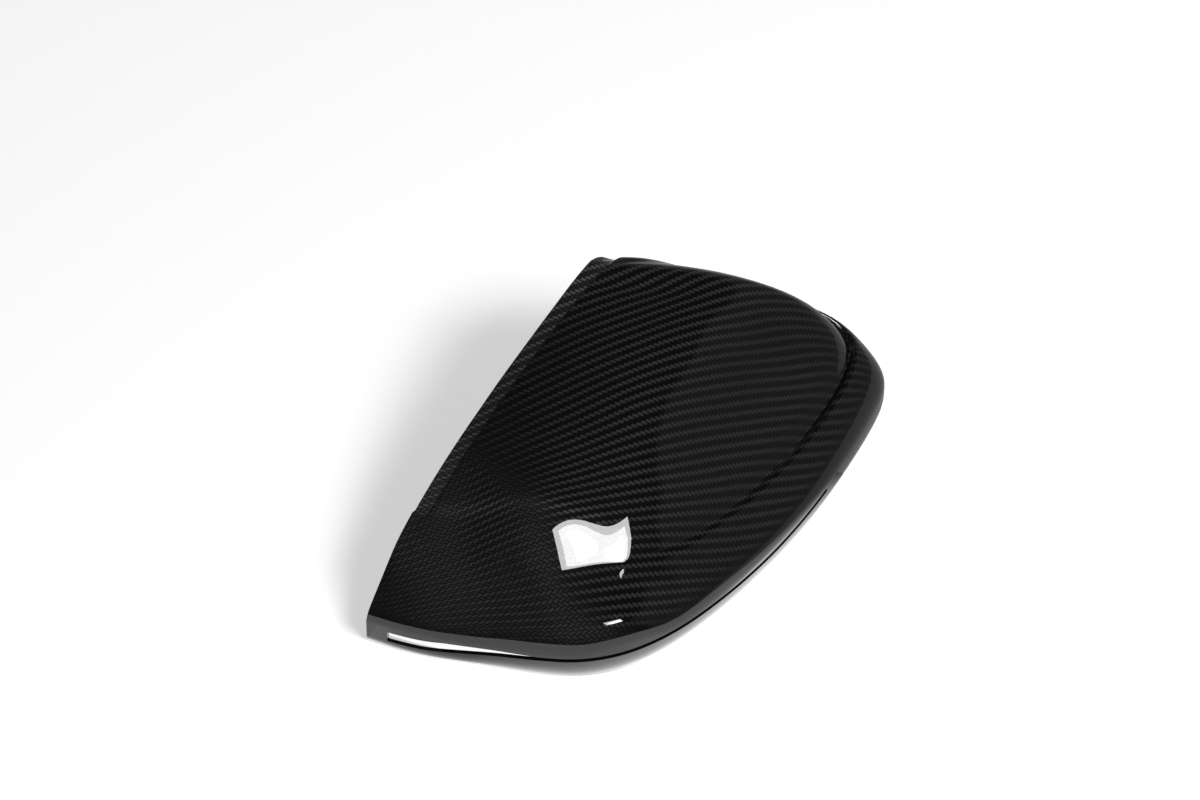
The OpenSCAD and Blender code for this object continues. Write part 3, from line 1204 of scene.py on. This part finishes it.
    def faces(self, nt: int, nv: int) -> tuple[list[tuple[int, ...]], list[tuple[int, ...]]]:
        """Lists the faces, with the lamp slot left open.

        Args:
            nt: Number of columns.
            nv: Number of rows.

        Returns:
            The coated faces, cut edges among them, and the bare inner faces.
        """
        slot_row = self.wall_rows
        slot_a = round(self.slot_from * self.columns_a_station)
        slot_b = round(self.slot_to * self.columns_a_station)

        def number(i: int, j: int, side: int) -> int:
            """Numbers a point by column, row and side."""
            return (side * nt + i) * nv + j

        coated = []
        bare = []
        shift = nt * nv
        for i in range(nt - 1):
            for j in range(nv - 1):
                if j == slot_row and slot_a <= i < slot_b:
                    continue
                a, b = number(i, j, 0), number(i, j + 1, 0)
                c, d = number(i + 1, j + 1, 0), number(i + 1, j, 0)
                coated.append((a, b, c, d))
                bare.append((a + shift, d + shift, c + shift, b + shift))
        borders = [((i, 0), (i + 1, 0)) for i in range(nt - 1)]
        borders += [((i + 1, nv - 1), (i, nv - 1)) for i in range(nt - 1)]
        borders += [((0, j + 1), (0, j)) for j in range(nv - 1)]
        borders += [((nt - 1, j), (nt - 1, j + 1)) for j in range(nv - 1)]
        borders += [((i + 1, slot_row), (i, slot_row)) for i in range(slot_a, slot_b)]
        borders += [((i, slot_row + 1), (i + 1, slot_row + 1)) for i in range(slot_a, slot_b)]
        borders += [((slot_a, slot_row), (slot_a, slot_row + 1))]
        borders += [((slot_b, slot_row + 1), (slot_b, slot_row))]
        for a, b in borders:
            coated.append((number(*a, 0), number(*b, 0), number(*b, 1), number(*a, 1)))
        return coated, bare

    def ease_edges(self, piece: bpy.types.Object) -> None:
        """Rounds the cut edges of the laminate a little.

        Args:
            piece: The shell, whose mesh is replaced by the rounded one.
        """
        ease = piece.modifiers.new("eased_edges", "BEVEL")
        ease.width = self.cut_edge * MM
        ease.segments = self.cut_segments
        ease.limit_method = "ANGLE"
        ease.angle_limit = math.radians(self.cut_from)
        ease.use_clamp_overlap = True
        graph = bpy.context.evaluated_depsgraph_get()
        mesh = bpy.data.meshes.new_from_object(piece.evaluated_get(graph))
        piece.modifiers.clear()
        piece.data = mesh
        piece.data.name = "twill_shell"


@dataclass
class Clips:
    """The six hooked clips glued inside, which keep their solids' meshes."""

    finish: MouldedPlastic = MouldedPlastic()
    names: tuple[str, ...] = (
        "clip_top_inner",
        "clip_top_middle",
        "clip_top_outer",
        "clip_front_inner",
        "clip_front_outer",
        "clip_outer_end",
    )

    def dress(self) -> list[bpy.types.Object]:
        """Gives the clips their finish.

        Returns:
            The clips.
        """
        plastic = self.finish.material()
        pieces = [bpy.data.objects[name] for name in self.names]
        for piece in pieces:
            piece.data.materials.clear()
            piece.data.materials.append(plastic)
        return pieces


class Seen(Enum):
    """Where a lamp's light counts: each value is the kind of ray that it is hidden from."""

    IN_REFLECTIONS = "visible_diffuse"
    BY_SURFACES = "visible_glossy"


@dataclass(frozen=True)
class Panel:
    """A flat lamp that faces the cover."""

    name: str
    azimuth: float
    elevation: float
    distance: float
    width: float
    height: float
    radiance: float
    seen: Seen

    def build(self, target: Vector) -> None:
        """Hangs the lamp and turns it to the target.

        Args:
            target: The point that it faces, in metres.
        """
        lamp = bpy.data.lights.new(self.name, "AREA")
        lamp.shape = "RECTANGLE"
        lamp.size = self.width
        lamp.size_y = self.height
        lamp.energy = self.radiance * math.pi * self.width * self.height
        piece = bpy.data.objects.new(self.name, lamp)
        back = direction(self.azimuth, self.elevation)
        turn = back.to_track_quat("Z", "Y").to_matrix().to_4x4()
        piece.matrix_world = Matrix.Translation(target + back * self.distance) @ turn
        piece.visible_camera = False
        setattr(piece, self.seen.value, False)
        bpy.context.scene.collection.objects.link(piece)


@dataclass
class Studio:
    """The white floor and the white world seen behind it, the lamps and the camera."""

    azimuth: float = -54.6
    elevation: float = 45
    distance: float = 3
    lens: float = 207
    aim_right: float = -0.0217
    aim_up: float = 0.0555
    floor_size: float = 6
    floor_colour: Colour = (0.9, 0.9, 0.9, 1)
    floor_glow: float = 0.55
    mirrored_near: Colour = (2.8, 2.8, 2.8, 1)
    mirrored_right: Colour = (0.75, 0.75, 0.75, 1)
    grey_from: float = 0.035
    grey_blur: float = 0.04
    room_colour: Colour = (0.07, 0.07, 0.07, 1)
    wall_colour: Colour = (0.19, 0.19, 0.19, 1)
    wall_top: float = 0.7
    wall_from: float = 0.15
    wall_blur: float = 0.06
    white: Colour = (1, 1, 1, 1)
    black: Colour = (0, 0, 0, 1)
    patch_lift: float = 0.2
    patch_places: int = 48
    # Depths inside the outline, in millimetres, of the painted light on the floor under the slot
    through_slot: tuple[float, float] = (7, 30)
    slot_stations: tuple[float, float] = (0.3, 9)
    mirrored_in_lip: tuple[float, float] = (-4, 10)
    lip_stations: tuple[float, ...] = (0, 3, 7, 10, 12.3)
    lip_radiances: tuple[float, ...] = (1.8, 0.9, 2.6, 3.2, 0.2)
    lamp_target: tuple[float, float, float] = (0, 0, 0.04)
    panels: tuple[Panel, ...] = (
        Panel("key_light", -12, 49, 1.6, 0.64, 0.34, 27, Seen.BY_SURFACES),
        Panel("softbox", -19.5, 51, 1.2, 0.51, 0.21, 14, Seen.IN_REFLECTIONS),
        Panel("softbox_middle", -17.5, 50.2, 1.15, 0.38, 0.15, 9, Seen.IN_REFLECTIONS),
        Panel("softbox_core", -15.5, 49.6, 1.1, 0.26, 0.1, 12, Seen.IN_REFLECTIONS),
    )

    def lay(self, name: str, points: list, faces: list, paint: Paint) -> bpy.types.Object:
        """Makes a matt sheet of the stage.

        Args:
            name: Its name.
            points: Its points, in metres.
            faces: Its faces.
            paint: Its paint, which is made fully matt.

        Returns:
            The sheet.
        """
        paint.dress({"Roughness": 1, "Specular IOR Level": 0})
        mesh = bpy.data.meshes.new(name)
        mesh.from_pydata(points, [], faces)
        mesh.materials.append(paint.material)
        sheet = bpy.data.objects.new(name, mesh)
        bpy.context.scene.collection.objects.link(sheet)
        return sheet

    def floor(self) -> bpy.types.Object:
        """Lays the floor, which shows white but keeps its shadow.

        Returns:
            The floor.
        """
        paint = Paint("white_floor")
        right = paint.parts(paint.node("ShaderNodeTexCoord", {}).outputs["Object"])[0]
        beside = paint.rise(right, self.grey_from, self.grey_blur)
        mirrored = paint.node("ShaderNodeLightPath", {}).outputs["Is Glossy Ray"]
        seen = paint.tint(beside, self.mirrored_near, self.mirrored_right)
        paint.dress({
            "Base Color": paint.tint(mirrored, self.floor_colour, self.black),
            "Emission Color": paint.tint(mirrored, self.white, seen),
            "Emission Strength": self.floor_glow,
        })
        r = self.floor_size
        points = [(-r, -r, 0), (r, -r, 0), (r, r, 0), (-r, r, 0)]
        return self.lay("floor", points, [(0, 1, 2, 3)], paint)

    def glowing_patch(
        self,
        name: str,
        plan: np.ndarray,
        corner: np.ndarray,
        radiance: np.ndarray,
    ) -> bpy.types.Object:
        """Lays a patch just above the floor that glows by itself, with no lamp.

        Args:
            name: Name of the patch.
            plan: Out and fwd of its two long sides, by side and place.
            corner: Low x and high y of the solid shell, in millimetres.
            radiance: Its glow at each place, 1 being white.

        Returns:
            The patch.
        """
        paint = Paint(name)
        stored = paint.node("ShaderNodeVertexColor", {})
        stored.layer_name = "radiance"
        light = {"Emission Color": stored.outputs["Color"], "Emission Strength": 1}
        paint.dress({"Base Color": self.black} | light)
        places = plan.shape[1]
        lifted = np.concatenate([plan, np.full_like(plan[..., :1], self.patch_lift)], -1)
        points = in_frame(lifted, corner).reshape(-1, 3)
        faces = [(i, i + 1, places + i + 1, places + i) for i in range(places - 1)]
        patch = self.lay(name, points.tolist(), faces, paint)
        layer = patch.data.color_attributes.new(name="radiance", type="FLOAT_COLOR", domain="POINT")
        layer.data.foreach_set("color", np.repeat(np.tile(radiance, 2), 4))
        patch.visible_diffuse = False
        patch.visible_shadow = False
        return patch

    def glowing_floors(self, skin: Skin, corner: np.ndarray) -> None:
        """Paints light on the floor seen through the lamp slot, where the cover's shade falls, and
        lays a glowing patch of floor that only reflections show, for the lip to mirror.

        Args:
            skin: The cover's skin, whose outline both patches follow.
            corner: Low x and high y of the solid shell, in millimetres.
        """
        # Painted light: the floor in the cover's shade glows white where the camera sees it through
        # the slot
        t = np.linspace(*self.slot_stations, self.patch_places)
        inside = np.stack([skin.foot(t) - skin.outward(t) * d for d in self.through_slot])
        through = self.glowing_patch("floor_through_slot", inside, corner, np.ones_like(t))
        through.visible_glossy = False
        t = np.linspace(0, self.lip_stations[-1], self.patch_places)
        beside = np.stack([skin.foot(t) + skin.outward(t) * d for d in self.mirrored_in_lip])
        radiance = np.interp(t, self.lip_stations, self.lip_radiances)
        mirrored = self.glowing_patch("floor_in_lip", beside, corner, radiance)
        mirrored.visible_camera = False

    def world(self) -> None:
        """Lights the studio dimly, with a grey wall at the right, and shows white to the camera."""
        world = bpy.data.worlds.new("studio")
        bpy.context.scene.world = world
        world.use_nodes = True
        book = NodeBook(world.node_tree)
        place = book.parts(book.node("ShaderNodeTexCoord", {}).outputs["Generated"])
        below = book.rise(place[2], self.wall_top, -self.wall_blur)
        right = book.rise(place[0], self.wall_from, self.wall_blur)
        around = book.tint(book.math("MINIMUM", below, right), self.room_colour, self.wall_colour)
        straight = book.node("ShaderNodeLightPath", {}).outputs["Is Camera Ray"]
        back = world.node_tree.nodes["Background"]
        book.put(book.tint(straight, around, self.white), back.inputs["Color"])

    def camera(self) -> None:
        """Sets the camera at the photograph's angle."""
        data = bpy.data.cameras.new("camera")
        data.lens = self.lens
        camera = bpy.data.objects.new("camera", data)
        bpy.context.scene.collection.objects.link(camera)
        around = math.radians(self.azimuth)
        back = direction(self.azimuth, self.elevation)
        right = Vector((math.cos(around), math.sin(around), 0))
        up = back.cross(right)
        target = right * self.aim_right + up * self.aim_up
        camera.location = target + back * self.distance
        camera.rotation_euler = (math.radians(90 - self.elevation), 0, around)
        bpy.context.scene.camera = camera

    def build(self, skin: Skin, corner: np.ndarray) -> None:
        """Sets up floor, world, lamps and camera.

        Args:
            skin: The cover's skin.
            corner: Low x and high y of the solid shell, in millimetres.
        """
        bpy.context.scene.view_settings.view_transform = "Standard"
        self.floor()
        self.glowing_floors(skin, corner)
        self.world()
        for panel in self.panels:
            panel.build(Vector(self.lamp_target))
        self.camera()


def main() -> None:
    """Builds the dressed cover."""
    logging.basicConfig(level=logging.INFO)
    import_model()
    low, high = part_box("cover_shell")
    corner = np.array([low.x, high.y]) / MM
    skin = Skin()
    shell = CoverShell(skin).build(corner)
    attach(shell, "root")
    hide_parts("cover_shell")
    for piece in [shell] + Clips().dress():
        LOG.info("%s: %d faces", piece.name, len(piece.data.polygons))
    Studio().build(skin, corner)


if __name__ == "__main__":
    main()
